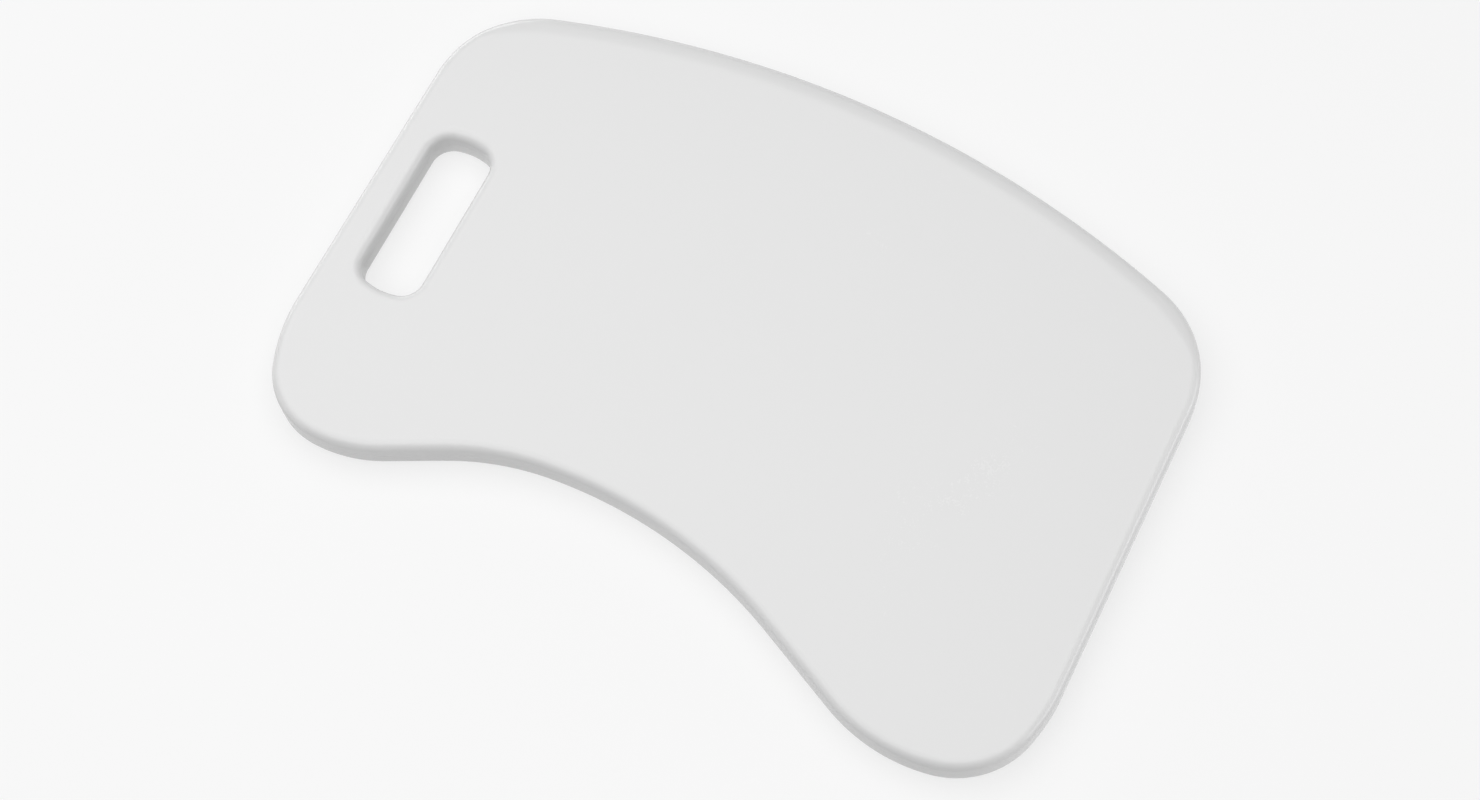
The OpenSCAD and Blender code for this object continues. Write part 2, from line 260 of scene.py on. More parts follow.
class Patchwork:
    """Closed mesh put together from grids and flat fills that share their border points."""

    def __init__(self) -> None:
        """Starts with nothing."""
        self.points: list[np.ndarray] = []
        self.quads: list[np.ndarray] = []
        self.triangles: list[np.ndarray] = []
        self.count = 0

    def grid(self, rows: np.ndarray, flip: bool = False) -> np.ndarray:
        """Adds a grid that closes round its columns.

        A quad joins (row, column), (row + 1, column), (row + 1, column + 1) and
        (row, column + 1), so rows that run down an anticlockwise wall face outward.

        Args:
            rows: Rows by columns by x, y, z.
            flip: Whether the faces are turned over.

        Returns:
            The index of each point, rows by columns.
        """
        index = self.count + np.arange(rows.shape[0] * rows.shape[1]).reshape(rows.shape[:2])
        self.points.append(rows.reshape(-1, 3))
        self.count += index.size
        here, below = index[:-1], index[1:]
        ring = [here, below, np.roll(below, -1, axis=1), np.roll(here, -1, axis=1)]
        quads = np.stack(ring, axis=-1).reshape(-1, 4)
        self.quads.append(quads[:, ::-1] if flip else quads)
        return index

    def fill(self, rings: Sequence[np.ndarray], side: Side) -> None:
        """Fills the flat region inside the first ring and outside the others.

        Args:
            rings: Indexes of the points of each ring; the first one is the outer border.
            side: The way the region faces.
        """
        index = np.concatenate(rings)
        flat = np.concatenate(self.points)[index][:, :2] / MM
        starts = np.cumsum([0] + [len(ring) for ring in rings]).tolist()
        regions = [list(range(start, stop)) for start, stop in zip(starts[:-1], starts[1:])]
        result = geometry.delaunay_2d_cdt(
            [Vector(p) for p in flat.tolist()], [], regions, FILL_INSIDE, FILL_SLACK, True
        )
        source = np.array([ids[0] for ids in result[3]])
        kept = [corner for corner, owners in zip(result[2], result[5]) if list(owners) == [0]]
        faces = index[source[np.array(kept)]]
        self.triangles.append(faces if side is Side.UP else faces[:, ::-1])

    def build(self, name: str, sharp: float = 30.0, weld: bool = False) -> bpy.types.Object:
        """Makes the mesh object, smooth except where two faces meet at more than an angle.

        Args:
            name: Name of the object and its mesh.
            sharp: That angle, in degrees.
            weld: Whether points at the same place are joined.

        Returns:
            The object, in the scene.
        """
        points = np.concatenate(self.points)
        quads = np.concatenate(self.quads)
        triangles = np.concatenate(self.triangles)
        corners = np.concatenate([quads.ravel(), triangles.ravel()])
        totals = np.concatenate([np.full(len(quads), 4), np.full(len(triangles), 3)])
        mesh = bpy.data.meshes.new(name)
        mesh.vertices.add(len(points))
        mesh.vertices.foreach_set("co", points.astype(np.float32).ravel())
        mesh.loops.add(len(corners))
        mesh.loops.foreach_set("vertex_index", corners.astype(np.int32))
        mesh.polygons.add(len(totals))
        starts = np.concatenate([[0], np.cumsum(totals)[:-1]])
        mesh.polygons.foreach_set("loop_start", starts.astype(np.int32))
        mesh.update(calc_edges=True)
        mesh.validate()
        if weld:
            solid = bmesh.new()
            solid.from_mesh(mesh)
            bmesh.ops.remove_doubles(solid, verts=solid.verts, dist=SAME_PLACE)
            solid.to_mesh(mesh)
            solid.free()
        mesh.polygons.foreach_set("use_smooth", np.ones(len(mesh.polygons), bool))
        mesh.set_sharp_from_angle(angle=math.radians(sharp))
        piece = bpy.data.objects.new(name, mesh)
        bpy.context.scene.collection.objects.link(piece)
        return piece


class Signal:
    """Value or colour in a shader; its operators add Math nodes."""

    def __init__(self, maker: "NodeMaker", socket: bpy.types.NodeSocket) -> None:
        """Wraps an output socket, with the maker that new nodes come from."""
        self.maker = maker
        self.socket = socket

    def _with(self, operation: str, first: object, second: object) -> "Signal":
        """Adds one Math node on two values or signals."""
        node = self.maker.node("ShaderNodeMath", {"operation": operation}, {0: first, 1: second})
        return Signal(self.maker, node.outputs[0])

    def __add__(self, other: object) -> "Signal":
        """This plus other."""
        return self._with("ADD", self, other)

    __radd__ = __add__

    def __sub__(self, other: object) -> "Signal":
        """This minus other."""
        return self._with("SUBTRACT", self, other)

    def __rsub__(self, other: object) -> "Signal":
        """Other minus this."""
        return self._with("SUBTRACT", other, self)

    def __mul__(self, other: object) -> "Signal":
        """This times other."""
        return self._with("MULTIPLY", self, other)

    __rmul__ = __mul__


class NodeMaker:
    """Material whose nodes are all made by one method."""

    def __init__(self, name: str) -> None:
        """Starts a material with its shader and its output.

        Args:
            name: Name of the material.
        """
        self.material = bpy.data.materials.new(name)
        self.material.use_nodes = True
        self.tree = self.material.node_tree
        self.tree.nodes.clear()
        self.shader = self.node("ShaderNodeBsdfPrincipled", {}, {})
        self.node("ShaderNodeOutputMaterial", {}, {"Surface": self.shader.outputs[0]})
        self.place = self.node("ShaderNodeTexCoord", {}, {}).outputs["Object"]

    def node(
        self, kind: str, settings: dict[str, object], inputs: dict[object, object]
    ) -> bpy.types.Node:
        """Adds a node, sets it, and then gives its sockets their values or links.

        Args:
            kind: Type of the node.
            settings: Properties of the node, set first.
            inputs: Value, socket or signal for each input, by name or number.

        Returns:
            The node.
        """
        made = self.tree.nodes.new(kind)
        for key, value in settings.items():
            setattr(made, key, value)
        for key, value in inputs.items():
            if isinstance(value, Signal):
                value = value.socket
            if isinstance(value, bpy.types.NodeSocket):
                self.tree.links.new(value, made.inputs[key])
            else:
                made.inputs[key].default_value = value
        return made

    def noise(self, scale: float, detail: float = 2.0, stretch: Sequence[float] = (1, 1, 1)) -> Signal:
        """Noise over the surface, from 0 to 1.

        Args:
            scale: Number of features in a metre.
            detail: Octaves of finer noise.
            stretch: How much the pattern is packed along each axis.

        Returns:
            The noise.
        """
        mapped = self.node("ShaderNodeMapping", {}, {"Vector": self.place, "Scale": stretch})
        made = self.node(
            "ShaderNodeTexNoise",
            {},
            {"Vector": mapped.outputs[0], "Scale": scale, "Detail": detail},
        )
        return Signal(self, made.outputs["Fac"])

    def cells(self, scale: float) -> Signal:
        """Distance to the nearest cell centre of a Voronoi pattern."""
        made = self.node("ShaderNodeTexVoronoi", {}, {"Vector": self.place, "Scale": scale})
        return Signal(self, made.outputs["Distance"])

    def between(self, low: Sequence[float], high: Sequence[float], share: Signal) -> Signal:
        """Mixes two colours.

        Args:
            low: Colour where the share is 0.
            high: Colour where the share is 1.
            share: The share.

        Returns:
            The mixed colour.
        """
        made = self.node(
            "ShaderNodeMix",
            {"data_type": "RGBA"},
            {"Factor": share, 6: (*low, 1.0), 7: (*high, 1.0)},
        )
        return Signal(self, made.outputs[2])

    def bump(self, height: Signal, depth: float) -> bpy.types.NodeSocket:
        """Bump of a depth in metres from a height from 0 to 1."""
        made = self.node("ShaderNodeBump", {}, {"Height": height, "Distance": depth})
        return made.outputs[0]

    def wear(self, values: dict[str, object]) -> None:
        """Sets or links the shader's own sockets.

        Args:
            values: Value, socket or signal for each socket, by name.
        """
        for key, value in values.items():
            if isinstance(value, Signal):
                value = value.socket
            if isinstance(value, bpy.types.NodeSocket):
                self.tree.links.new(value, self.shader.inputs[key])
            else:
                self.shader.inputs[key].default_value = value


@dataclass(frozen=True)
class Finish:
    """Colour and surface of one material.

    Attributes:
        slot: The record's material slot.
        grain: Family of its pattern.
        colour: Base colour, linear.
        roughness: Middle of the roughness.
        metallic: 1 for a bare metal.
        shade: How much darker the pattern's low parts are.
        depth: Depth of the bump, in metres.
        scale: Features of the pattern in a metre.
        specular: Specular level of the shader.
    """

    slot: str
    grain: Grain
    colour: tuple[float, float, float]
    roughness: float
    metallic: float = 0.0
    shade: float = 0.06
    depth: float = 0.00002
    scale: float = 900.0
    specular: float = 0.5

    def layered(
        self, maker: NodeMaker, detail: float, coarser: float, coarse_detail: float, share: float
    ) -> Signal:
        """Fine noise with a share of noise mixed in that is some times coarser."""
        fine = maker.noise(self.scale, detail) * (1.0 - share)
        return fine + maker.noise(self.scale / coarser, coarse_detail) * share

    def pattern(self, maker: NodeMaker) -> Signal:
        """Height of the surface, from 0 to 1, in this finish's grain.

        Args:
            maker: Where the nodes are made.

        Returns:
            The height.
        """
        if self.grain is Grain.MOULDED:
            return self.layered(maker, detail=3.0, coarser=7.0, coarse_detail=1.0, share=0.3)
        if self.grain is Grain.BEADED:
            return 1.0 - maker.cells(self.scale) * BEAD_SLOPE
        if self.grain is Grain.BRUSHED:
            return maker.noise(self.scale, 4.0, ALONG_X)
        if self.grain is Grain.TURNED:
            return maker.noise(self.scale, 2.0, ROUND_Z)
        return self.layered(maker, detail=4.0, coarser=12.0, coarse_detail=2.0, share=0.2)

    def material(self) -> bpy.types.Material:
        """Makes the material: colour, roughness and bump all follow the grain.

        Returns:
            The material.
        """
        maker = NodeMaker(self.slot)
        height = self.pattern(maker)
        broad = maker.noise(BROAD_SCALE, BROAD_DETAIL)
        dark = tuple(channel * (1.0 - self.shade) for channel in self.colour)
        share = height * 0.5 + broad * 0.5
        polish = self.roughness + BROAD_POLISH * (broad - 0.5) + FINE_POLISH * (height - 0.5)
        maker.wear(
            {
                "Base Color": maker.between(dark, self.colour, share),
                "Roughness": polish,
                "Metallic": self.metallic,
                "Specular IOR Level": self.specular,
                "Normal": maker.bump(height, self.depth),
            }
        )
        return maker.material


SHELL = Finish(
    "shell_white", Grain.MOULDED, (0.62, 0.62, 0.62), 0.25, shade=0.02, depth=0.000005, specular=0.33
)
FOAM = Finish("foam", Grain.BEADED, (0.80, 0.80, 0.78), 0.85, shade=0.12, depth=0.0005, scale=320.0)
TUBE = Finish("tube_metal", Grain.BRUSHED, (0.72, 0.73, 0.75), 0.34, 1.0, 0.10, 0.00003, 1500.0)
RING = Finish("ring_plastic", Grain.MOULDED, (0.030, 0.030, 0.033), 0.55, scale=1200.0)
SEAL = Finish("seal_rubber", Grain.RUBBED, (0.012, 0.012, 0.013), 0.70, scale=1500.0)
BRASS = Finish("insert_brass", Grain.TURNED, (0.74, 0.58, 0.28), 0.28, 1.0, 0.12, 0.00003, 2500.0)
STEEL = Finish("screw_steel", Grain.TURNED, (0.62, 0.63, 0.65), 0.26, 1.0, 0.08, 0.00002, 2500.0)
PAD = Finish("pad_rubber", Grain.RUBBED, (0.045, 0.045, 0.048), 0.68, shade=0.25, depth=0.00006)
KEPT_NODES: dict[str, Finish] = {
    "foam_core": FOAM,
    "far_stiffener": TUBE,
    "near_stiffener": TUBE,
    "slot_ring": RING,
    "rim_seal": SEAL,
    "slot_seal": SEAL,
    "thread_inserts": BRASS,
    "screws": STEEL,
    "screw_washers": SEAL,
}


class Wardrobe:
    """Keeps one material for each finish."""

    def __init__(self) -> None:
        """Starts empty."""
        self.made: dict[str, bpy.types.Material] = {}

    def dress(self, piece: bpy.types.Object, finish: Finish) -> None:
        """Gives a piece its only material.

        Args:
            piece: The object to dress.
            finish: What it is made of.
        """
        if finish.slot not in self.made:
            self.made[finish.slot] = finish.material()
        piece.data.materials.clear()
        piece.data.materials.append(self.made[finish.slot])


@dataclass(frozen=True)
class Plan:
    """Sizes of the board that its skins, plugs and pads share, in millimetres.

    Attributes:
        half_l, half_w: Half the length and half the width of the board.
        edge_r: Radius of the rolled rims.
        rim_w: Width of the solid band along the rims.
        skin_t: Thickness of a skin.
        groove_from, groove_to, groove_h: Where a seal's groove lies in the rim, and its depth.
        pillar_inset, pillar_d: Distance of the pillars from the edge, and their diameter.
        recess_d, ledge_z: Diameter of a screw's recess, and the height where it ends.
        bore_d: Diameter of the bore round a screw.
        insert_d, insert_top, hole_top: Diameter and top of an insert, and the end of its bore.
        slot_half_w, slot_half_l, slot_r, slot_bow: Sizes of the hand slot without its bows, its
            corner radius, and how far its ends bow outward.
        slot_x, slot_y, slot_turn: Place of the hand slot and its turn, in degrees.
        slot_pillar_inset, slot_pillar_pitch: Places of the two pillars beside the slot.
        pad_inset, pad_l, pad_w, pad_depth: Distance of the pads from the edge, and the size of
            their pockets.
        far_pillars: Shares of the far arc at which its pillars stand.
        hollow_pillar: Share of the right hollow's arc at which its pillar stands.
        pillar_arcs: Arcs with a pillar at their middle.
        pad_arcs: Arcs with a pad at their middle, in the order of the pads' names.
    """

    half_l: float = 280.0
    half_w: float = 194.0
    edge_r: float = 6.5
    rim_w: float = 8.0
    skin_t: float = 2.4
    groove_from: float = 3.45
    groove_to: float = 5.55
    groove_h: float = 1.0
    pillar_inset: float = 20.0
    pillar_d: float = 13.5
    recess_d: float = 8.7
    ledge_z: float = 11.0
    bore_d: float = 4.4
    insert_d: float = 5.6
    insert_top: float = 20.5
    hole_top: float = 20.8
    slot_half_w: float = 22.05
    slot_half_l: float = 56.15
    slot_r: float = 14.8
    slot_bow: float = 4.0
    slot_x: float = -232.35
    slot_y: float = -10.8
    slot_turn: float = 1.0
    slot_pillar_inset: float = 24.0
    slot_pillar_pitch: float = 84.0
    pad_inset: float = 50.0
    pad_l: float = 60.0
    pad_w: float = 20.0
    pad_depth: float = 1.0
    far_pillars: tuple[float, ...] = (0.09, 0.5, 0.91)
    hollow_pillar: float = 0.8
    pillar_arcs: tuple[Arc, ...] = (
        Arc.FAR_LEFT,
        Arc.LEFT_LOBE,
        Arc.LEFT_HOLLOW,
        Arc.RIGHT_LOBE,
        Arc.FAR_RIGHT,
    )
    pad_arcs: tuple[Arc, ...] = (
        Arc.FAR,
        Arc.FAR_LEFT,
        Arc.FAR_RIGHT,
        Arc.LEFT_LOBE,
        Arc.RIGHT_HOLLOW,
        Arc.RIGHT_LOBE,
    )

    def board(self) -> Outline:
        """The outline of the board: x, y and rounding radius of each corner point.

        Returns:
            The outline, anticlockwise from the middle of the far edge.
        """
        right, top = self.half_l, self.half_w
        corners = {
            Arc.FAR: (-3.0, top + 37.2, 726.0),
            Arc.FAR_LEFT: (-right - 0.6, top - 53.2, 75.0),
            Arc.LEFT_END: (2.2 - right, 68.7 - top, 118.0),
            Arc.LEFT_LOBE: (26.0 - right, 16.0 - top, 52.0),
            Arc.LEFT_SHOULDER: (-195.3, 15.5 - top, 97.0),
            Arc.LEFT_HOLLOW: (-108.6, 60.7 - top, 190.0),
            Arc.RIGHT_HOLLOW: (16.6, 74.3 - top, 322.0),
            Arc.RIGHT_SHOULDER: (190.6, -5.6 - top, 120.0),
            Arc.RIGHT_LOBE: (right - 10.9, 10.6 - top, 61.0),
            Arc.RIGHT_END: (right + 0.3, 69.2 - top, 113.0),
            Arc.FAR_RIGHT: (right - 8.2, top - 51.2, 75.0),
        }
        return Outline([corners[arc] for arc in Arc])

    def slot(self) -> Outline:
        """The outline of the hand slot: a bar with bowed ends, turned and in its place.

        Returns:
            The outline, anticlockwise.
        """
        x, y = self.slot_half_w, self.slot_half_l
        end_r = (x - self.slot_r) * x / self.slot_bow
        corners = [(x, y, self.slot_r), (0.0, y + self.slot_bow, end_r), (-x, y, self.slot_r)]
        corners += [(-px, -py, r) for px, py, r in corners]
        turn = math.radians(self.slot_turn)
        cos, sin = math.cos(turn), math.sin(turn)
        return Outline(
            [
                (self.slot_x + cos * px - sin * py, self.slot_y + sin * px + cos * py, r)
                for px, py, r in corners
            ]
        )

    def pillars(self) -> list[np.ndarray]:
        """Places the screw pillars along the rims and beside the slot.

        Returns:
            The middle of each of the twelve pillars, in metres.
        """
        board = self.board()
        inset = self.pillar_inset * MM
        places = [board.on_arc(Arc.FAR, share, inset) for share in self.far_pillars]
        places += [board.on_arc(arc, 0.5, inset) for arc in self.pillar_arcs]
        places.append(board.on_arc(Arc.RIGHT_HOLLOW, self.hollow_pillar, inset))
        places.append(board.mid_edge(Arc.RIGHT_END, inset))
        beside = self.slot_x + self.slot_half_w + self.slot_pillar_inset
        step = self.slot_pillar_pitch / 2
        places += [np.array([beside, self.slot_y + side * step]) * MM for side in (-1, 1)]
        return places

    def pad_places(self) -> list[tuple[np.ndarray, float]]:
        """Places the grip pads in the middle of their arcs.

        Returns:
            The middle of each pad, in metres, and the way it lies, in radians.
        """
        board = self.board()
        inset = self.pad_inset * MM
        return [(board.on_arc(arc, 0.5, inset), board.heading(arc)) for arc in self.pad_arcs]


def stadium(
    place: tuple[np.ndarray, float], length: float, width: float, step: float
) -> tuple[np.ndarray, np.ndarray]:
    """Spine points and outward directions of a bar with round ends, anticlockwise.

    A point of the bar's border is spine + direction * width / 2.

    Args:
        place: Middle of the bar and the way it lies.
        length: Overall length, in metres.
        width: Overall width, in metres.
        step: Distance between points along the straight sides, in metres.

    Returns:
        Rows of spine points and rows of unit directions.
    """
    half = (length - width) / 2
    run = np.linspace(-half, half, math.ceil(2 * half / step) + 1)
    bend = np.linspace(-np.pi / 2, np.pi / 2, END_POINTS + 2)[1:-1]
    ends = np.full(len(bend), half)
    spine_x = np.concatenate([run, ends, run[::-1], -ends])
    angle = np.concatenate(
        [np.full(len(run), -np.pi / 2), bend, np.full(len(run), np.pi / 2), bend + np.pi]
    )
    middle, heading = place
    along = np.array([math.cos(heading), math.sin(heading)])
    ray = np.stack([np.cos(angle + heading), np.sin(angle + heading)], axis=1)
    return middle + spine_x[:, None] * along, ray


def soft_edge(start: float, radius: float) -> tuple[np.ndarray, np.ndarray]:
    """Quarter circle that turns a level face into an upright side, without its first point.

    Args:
        start: Distance from the middle at which the quarter circle begins.
        radius: Its radius.

    Returns:
        Distances start + r sin a and rises r(1 - cos a), for a up to a right angle.
    """
    angle = np.linspace(0.0, np.pi / 2, EDGE_ROWS)[1:]
    return start + radius * np.sin(angle), radius * (1.0 - np.cos(angle))


@dataclass
class Skins:
    """The two moulded skins that meet half way up the rim; sizes are in millimetres.

    Attributes:
        plan: Shared sizes.
        far_roll_w: Width of the softer roll along the top of the far edge.
        far_roll_h: Height of that roll.
        far_turn: How much a path faces +Y where the softer roll begins and is whole.
        seam: Size of the edge break where the skins meet.
        land: Width of the level strip between a roll and the flat fill.
        roll_rows: Number of rows across a roll.
        rim_step: Greatest distance, and greatest turn in degrees, between points of the rim.
        slot_step: The same for the points round the slot.
        pocket_step: Distance between points along a pad's pocket.
        pieces: The skins, once they are built.
    """

    plan: Plan
    far_roll_w: float = 16.0
    far_roll_h: float = 7.5
    far_turn: tuple[float, float] = (0.45, 0.93)
    seam: float = 0.15
    land: float = 0.6
    roll_rows: int = 14
    rim_step: tuple[float, float] = (3.0, 2.0)
    slot_step: tuple[float, float] = (1.5, 4.0)
    pocket_step: float = 4.0
    pieces: list[bpy.types.Object] = field(default_factory=list)

    def roll(self, path: tuple[np.ndarray, np.ndarray], soft: bool) -> tuple[np.ndarray, np.ndarray]:
        """Rows of a quarter ellipse: inset = w(1 - sin a), drop = h(1 - cos a).

        Args:
            path: The path that the roll follows.
            soft: Whether the roll widens where the path faces the far edge.

        Returns:
            Inset and drop below the face, each of rows by path points, in metres.
        """
        facing = smooth_step(-path[1][:, 1], *self.far_turn) if soft else np.zeros(len(path[1]))
        wide = self.plan.edge_r + (self.far_roll_w - self.plan.edge_r) * facing
        high = self.plan.edge_r + (self.far_roll_h - self.plan.edge_r) * facing
        angle = np.linspace(0.0, np.pi / 2, self.roll_rows)[:, None]
        inset = wide * (1.0 - np.sin(angle))
        drop = high * (1.0 - np.cos(angle))
        inset = np.concatenate([wide[None] + self.land, inset])
        drop = np.concatenate([np.zeros((1, len(wide))), drop])
        return inset * MM, drop * MM

    def rim(
        self, path: tuple[np.ndarray, np.ndarray], face: float, split: float, soft: bool, sign: float
    ) -> np.ndarray:
        """Section of one skin's rim, carried along a path.

        It runs over the roll, along the wall to the seam, in along the seam's face with half
        of the seal's groove, and along the inner wall to the inner side of the skin.

        Args:
            path: The path that the rim follows, with its directions into the board.
            face: Height of the skin's outer face.
            split: Height of the seam.
            soft: Whether the roll widens at the far edge.
            sign: 1 for the top skin and -1 for the bottom one.

        Returns:
            Rows by path points by x, y, z.
        """
        plan = self.plan
        inset, drop = self.roll(path, soft)
        height = face - sign * drop
        tail = np.array(
            [
                (0.0, split + sign * self.seam * MM),
                (self.seam * MM, split),
                (plan.groove_from * MM, split),
                (plan.groove_from * MM, split + sign * plan.groove_h * MM),
                (plan.groove_to * MM, split + sign * plan.groove_h * MM),
                (plan.groove_to * MM, split),
                (plan.rim_w * MM, split),
                (plan.rim_w * MM, face - sign * plan.skin_t * MM),
            ]
        )
        columns = np.ones((1, inset.shape[1]))
        inset = np.concatenate([inset, tail[:, :1] * columns])
        height = np.concatenate([height, tail[:, 1:] * columns])
        return carried(path, inset, height)

    def paths(self) -> tuple[tuple[np.ndarray, np.ndarray], tuple[np.ndarray, np.ndarray]]:
        """Lays fine paths round the board and round the slot.

        Returns:
            Points and directions into the board, for the board and then for the slot.
        """
        step, turn = self.rim_step
        outer = self.plan.board().trace(step * MM, math.radians(turn))
        step, turn = self.slot_step
        points, inward = self.plan.slot().trace(step * MM, math.radians(turn))
        return outer, (points, -inward)

    def make_top(self, face: float, split: float) -> bpy.types.Object:
        """Top skin: rims, face, inner side and the twelve pillars that hold the inserts.

        Args:
            face: Height of the work surface.
            split: Height of the seam.

        Returns:
            The closed piece.
        """
        plan, work = self.plan, Patchwork()
        outer, slot = self.paths()
        rim = work.grid(self.rim(outer, face, split, True, 1.0))
        hole = work.grid(self.rim(slot, face, split, False, 1.0), flip=True)
        work.fill([rim[0], hole[0]], Side.UP)
        ceiling = face - plan.skin_t * MM
        section = np.array(
            [
                (plan.pillar_d / 2, ceiling / MM),
                (plan.pillar_d / 2, split / MM),
                (plan.insert_d / 2, split / MM),
                (plan.insert_d / 2, plan.insert_top),
                (plan.bore_d / 2, plan.insert_top),
                (plan.bore_d / 2, plan.hole_top),
            ]
        )
        roots = []
        for place in plan.pillars():
            ring = work.grid(turned(section, place))
            work.fill([ring[-1]], Side.DOWN)
            roots.append(ring[0])
        work.fill([rim[-1], hole[-1], *roots], Side.DOWN)
        return work.build("top_skin")

    def make_bottom(self, face: float, split: float) -> bpy.types.Object:
        """Bottom skin: rims, face with screw recesses and pad pockets, inner side and pillars.

        Args:
            face: Height of the underside.
            split: Height of the seam.

        Returns:
            The closed piece.
        """
        plan, work = self.plan, Patchwork()
        outer, slot = self.paths()
        rim = work.grid(self.rim(outer, face, split, False, -1.0), flip=True)
        hole = work.grid(self.rim(slot, face, split, False, -1.0))
        floor = face + plan.skin_t * MM
        section = np.array(
            [
                (plan.recess_d / 2, face / MM),
                (plan.recess_d / 2, plan.ledge_z),
                (plan.bore_d / 2, plan.ledge_z),
                (plan.bore_d / 2, split / MM),
                (plan.pillar_d / 2, split / MM),
                (plan.pillar_d / 2, floor / MM),
            ]
        )
        mouths, roots = [], []
        for place in plan.pillars():
            ring = work.grid(turned(section, place))
            mouths.append(ring[0])
            roots.append(ring[-1])
        for place in plan.pad_places():
            path = stadium(place, plan.pad_l * MM, plan.pad_w * MM, self.pocket_step * MM)
            radius = np.full((2, 1), plan.pad_w / 2) * MM
            depth = np.array([[0.0], [plan.pad_depth]]) * MM
            pocket = work.grid(carried(path, radius, face + depth))
            work.fill([pocket[-1]], Side.DOWN)
            mouths.append(pocket[0])
        work.fill([rim[0], hole[0], *mouths], Side.DOWN)
        work.fill([rim[-1], hole[-1], *roots], Side.UP)
        return work.build("bottom_skin")

    def build(self) -> None:
        """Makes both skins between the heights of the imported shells."""
        low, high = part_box("bottom_shell")
        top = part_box("top_shell")[1]
        self.pieces = [self.make_top(top.z, high.z), self.make_bottom(low.z, high.z)]

    def dress(self, wardrobe: Wardrobe) -> None:
        """Gives both skins the white moulded finish and their places in the table.

        Args:
            wardrobe: Where the materials are kept.
        """
        for piece, node in zip(self.pieces, ("top_shell", "bottom_shell")):
            wardrobe.dress(piece, SHELL)
            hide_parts(node)
            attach(piece, "root")
            LOG.info("%s: %d faces", piece.name, len(piece.data.polygons))


@dataclass
class Plugs:
    """The twelve plugs that hide the screws, as one piece.

    Attributes:
        plan: Shared sizes.
        soften: Radius of a plug's lower edge, in millimetres.
        dish: Depth of the shallow dish in its middle, in millimetres.
        middle_r: Radius of the small flat fill in its middle, in millimetres.
        rows: Number of rows across the dish.
        pieces: The plugs' one piece, once it is built.
    """

    plan: Plan
    soften: float = 0.35
    dish: float = 0.15
    middle_r: float = 0.06
    rows: int = 8
    pieces: list[bpy.types.Object] = field(default_factory=list)

    def build(self) -> None:
        """Turns each plug's section about its middle.

        From the middle of the lower face outward, the section is a dish of depth
        d cos^2(pi r / 2R), a quarter circle at the edge, and the straight side.
        """
        low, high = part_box("screw_plugs")
        radius = self.plan.recess_d / 2
        flat = np.linspace(self.middle_r, radius - self.soften, self.rows)
        dish = self.dish * np.cos(np.pi * flat / (2 * flat[-1])) ** 2
        edge_r, edge_z = soft_edge(flat[-1], self.soften)
        reach = np.concatenate([flat, edge_r, [radius]])
        height = np.concatenate([low.z / MM + dish, low.z / MM + edge_z, [high.z / MM]])
        section = np.stack([reach, height], axis=1)
        work = Patchwork()
        for place in self.plan.pillars():
            ring = work.grid(turned(section, place), flip=True)
            work.fill([ring[0]], Side.DOWN)
            work.fill([ring[-1]], Side.UP)
        self.pieces = [work.build("plug_caps", sharp=50.0)]

    def dress(self, wardrobe: Wardrobe) -> None:
        """Gives the plugs the same moulded finish as the skins.

        Args:
            wardrobe: Where the materials are kept.
        """
        piece = self.pieces[0]
        wardrobe.dress(piece, SHELL)
        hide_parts("screw_plugs")
        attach(piece, "root")
        LOG.info("%s: %d faces", piece.name, len(piece.data.polygons))


